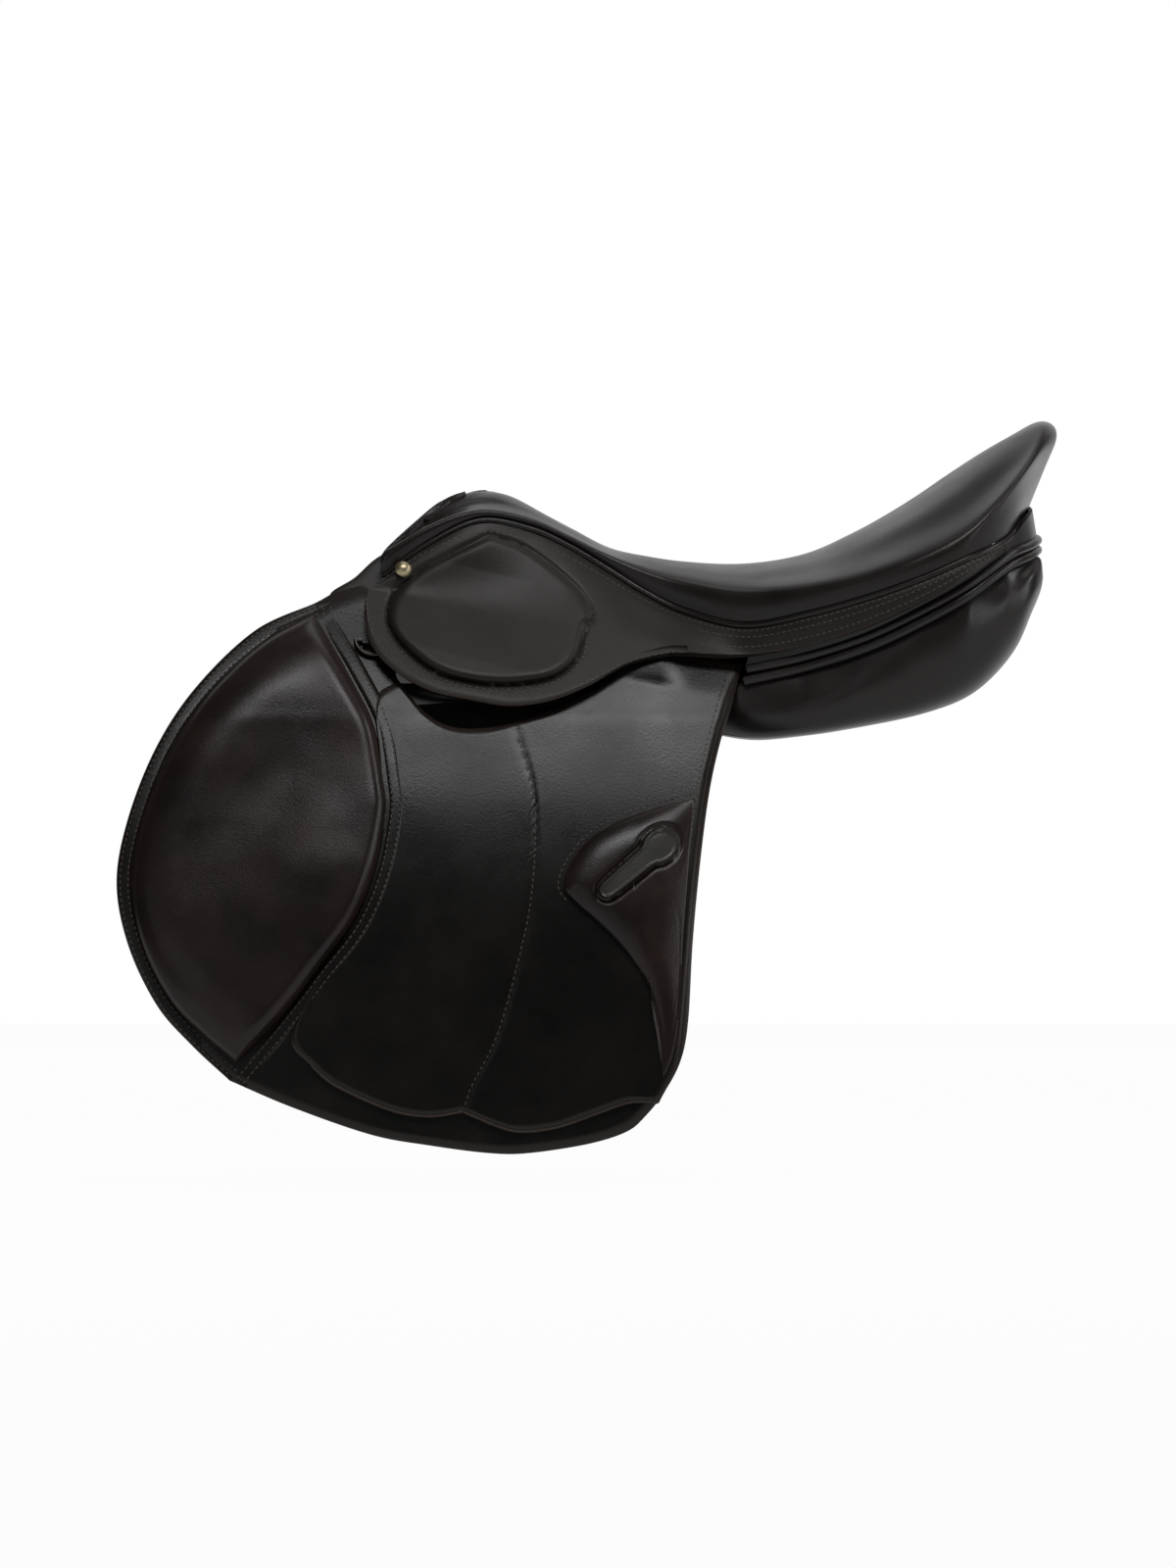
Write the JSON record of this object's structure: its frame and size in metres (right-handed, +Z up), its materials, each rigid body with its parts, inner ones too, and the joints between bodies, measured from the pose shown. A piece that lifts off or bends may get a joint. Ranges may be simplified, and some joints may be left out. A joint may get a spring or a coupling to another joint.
{
  "type": "jumping saddle",
  "caption": "English jumping saddle with a forward-cut flap, padded flap front, deep seat, lifting flaps and skirts, stirrup bars with catches and girth billets.",
  "frame": {"origin": "on the midline, at the level where the panels bear on the back, under the lowest part of the seat", "axes": "-X forward to the pommel, -Y to the rider's left, +Z up"},
  "size_m": [0.613, 0.3818, 0.481],
  "materials": {
    "seat_leather": "satin, fine grain",
    "skirt_leather": "satin, fine grain",
    "flap_leather": "satin, fine grain",
    "pad_leather": "satin, soft grain",
    "panel_leather": "satin, soft grain",
    "strap_leather": "smooth bridle leather",
    "tree_wood": "laminated, sealed",
    "steel": "bright zinc",
    "nail": "dark nickel",
    "tag": "plain embossed leather, no words",
    "webbing": "woven",
    "foam": "open cell"
  },
  "bodies": {
    "saddle_body": {"tree": "tree_wood", "head_plate": "steel", "gullet_plate": "steel", "tree_rivets": "steel", "bar_rivets": "steel", "catch_pins": "steel", "front_girth_web": "webbing", "rear_girth_web": "webbing", "seat_web": "webbing", "seat_foam": "foam", "seat_cover": "seat_leather", "saddle_nails": "nail", "pommel_facing": "seat_leather", "gullet_lining": "panel_leather", "left_spring": "steel", "left_stirrup_bar": "steel", "left_piping": "seat_leather", "left_upper_skirt": "skirt_leather", "left_sweat_flap": "strap_leather", "left_panel": "panel_leather", "left_panel_facing": "panel_leather", "left_panel_welt": "panel_leather", "right_spring": "steel", "right_stirrup_bar": "steel", "right_piping": "seat_leather", "right_upper_skirt": "skirt_leather", "right_sweat_flap": "strap_leather", "right_panel": "panel_leather", "right_panel_facing": "panel_leather", "right_panel_welt": "panel_leather"},
    "left_flap": {"left_flap": "flap_leather", "left_overlay": "flap_leather", "left_knee_pad": "pad_leather", "left_thigh_pad": "pad_leather", "left_tag": "tag", "left_dee_loop": "strap_leather"},
    "left_skirt": {"left_skirt": "skirt_leather"},
    "left_catch": {"left_catch": "steel"},
    "left_dee": {"left_dee": "steel"},
    "left_front_billet": {"left_front_billet": "strap_leather"},
    "left_rear_billet": {"left_rear_billet": "strap_leather"},
    "left_buckle_guard": {"left_buckle_guard": "strap_leather"},
    "right_flap": {"right_flap": "flap_leather", "right_overlay": "flap_leather", "right_knee_pad": "pad_leather", "right_thigh_pad": "pad_leather", "right_tag": "tag", "right_dee_loop": "strap_leather"},
    "right_skirt": {"right_skirt": "skirt_leather"},
    "right_catch": {"right_catch": "steel"},
    "right_dee": {"right_dee": "steel"},
    "right_front_billet": {"right_front_billet": "strap_leather"},
    "right_rear_billet": {"right_rear_billet": "strap_leather"},
    "right_buckle_guard": {"right_buckle_guard": "strap_leather"}
  },
  "joints": [
    {"name": "left_flap_lift", "type": "hinge", "parent": "saddle_body", "child": "left_flap", "pos_m": [-0.228, -0.066, 0.094], "axis": [-0.9717, 0.1382, 0.1917], "range_deg": [0, 65]},
    {"name": "left_skirt_lift", "type": "hinge", "parent": "left_flap", "child": "left_skirt", "pos_m": [-0.228, -0.066, 0.094], "axis": [-0.9717, 0.1382, 0.1917], "range_deg": [0, 50]},
    {"name": "left_catch_turn", "type": "hinge", "parent": "saddle_body", "child": "left_catch", "pos_m": [-0.132, -0.07388, 0.05616], "axis": [0, -0.788, 0.6157], "range_deg": [0, 70]},
    {"name": "left_dee_swing", "type": "hinge", "parent": "left_flap", "child": "left_dee", "pos_m": [-0.219, -0.08163, 0.05947], "axis": [-1, 0, 0], "range_deg": [0, 5]},
    {"name": "left_front_billet_swing", "type": "hinge", "parent": "saddle_body", "child": "left_front_billet", "pos_m": [-0.092, -0.0821, 0.03438], "axis": [0, -0.9516, 0.3074], "range_deg": [-6, 6]},
    {"name": "left_rear_billet_swing", "type": "hinge", "parent": "saddle_body", "child": "left_rear_billet", "pos_m": [-0.042, -0.0821, 0.03438], "axis": [0, -0.9516, 0.3074], "range_deg": [-6, 6]},
    {"name": "left_guard_level", "type": "hinge", "parent": "left_front_billet", "child": "left_buckle_guard", "pos_m": [-0.092, -0.11821, -0.07743], "axis": [0, -0.9516, 0.3074], "range_deg": [-6, 6]},
    {"name": "right_flap_lift", "type": "hinge", "parent": "saddle_body", "child": "right_flap", "pos_m": [-0.228, 0.066, 0.094], "axis": [0.9717, 0.1382, -0.1917], "range_deg": [0, 65]},
    {"name": "right_skirt_lift", "type": "hinge", "parent": "right_flap", "child": "right_skirt", "pos_m": [-0.228, 0.066, 0.094], "axis": [0.9717, 0.1382, -0.1917], "range_deg": [0, 50]},
    {"name": "right_catch_turn", "type": "hinge", "parent": "saddle_body", "child": "right_catch", "pos_m": [-0.132, 0.07388, 0.05616], "axis": [0, -0.788, -0.6157], "range_deg": [0, 70]},
    {"name": "right_dee_swing", "type": "hinge", "parent": "right_flap", "child": "right_dee", "pos_m": [-0.219, 0.08163, 0.05947], "axis": [1, 0, 0], "range_deg": [0, 5]},
    {"name": "right_front_billet_swing", "type": "hinge", "parent": "saddle_body", "child": "right_front_billet", "pos_m": [-0.092, 0.0821, 0.03438], "axis": [0, -0.9516, -0.3074], "range_deg": [-6, 6]},
    {"name": "right_rear_billet_swing", "type": "hinge", "parent": "saddle_body", "child": "right_rear_billet", "pos_m": [-0.042, 0.0821, 0.03438], "axis": [0, -0.9516, -0.3074], "range_deg": [-6, 6]},
    {"name": "right_guard_level", "type": "hinge", "parent": "right_front_billet", "child": "right_buckle_guard", "pos_m": [-0.092, 0.11821, -0.07743], "axis": [0, -0.9516, -0.3074], "range_deg": [-6, 6]}
  ],
  "couplings": [
    {"joint": "left_rear_billet_swing", "follows": "left_front_billet_swing", "ratio": 1},
    {"joint": "left_guard_level", "follows": "left_front_billet_swing", "ratio": -1},
    {"joint": "right_rear_billet_swing", "follows": "right_front_billet_swing", "ratio": 1},
    {"joint": "right_guard_level", "follows": "right_front_billet_swing", "ratio": -1}
  ]
}
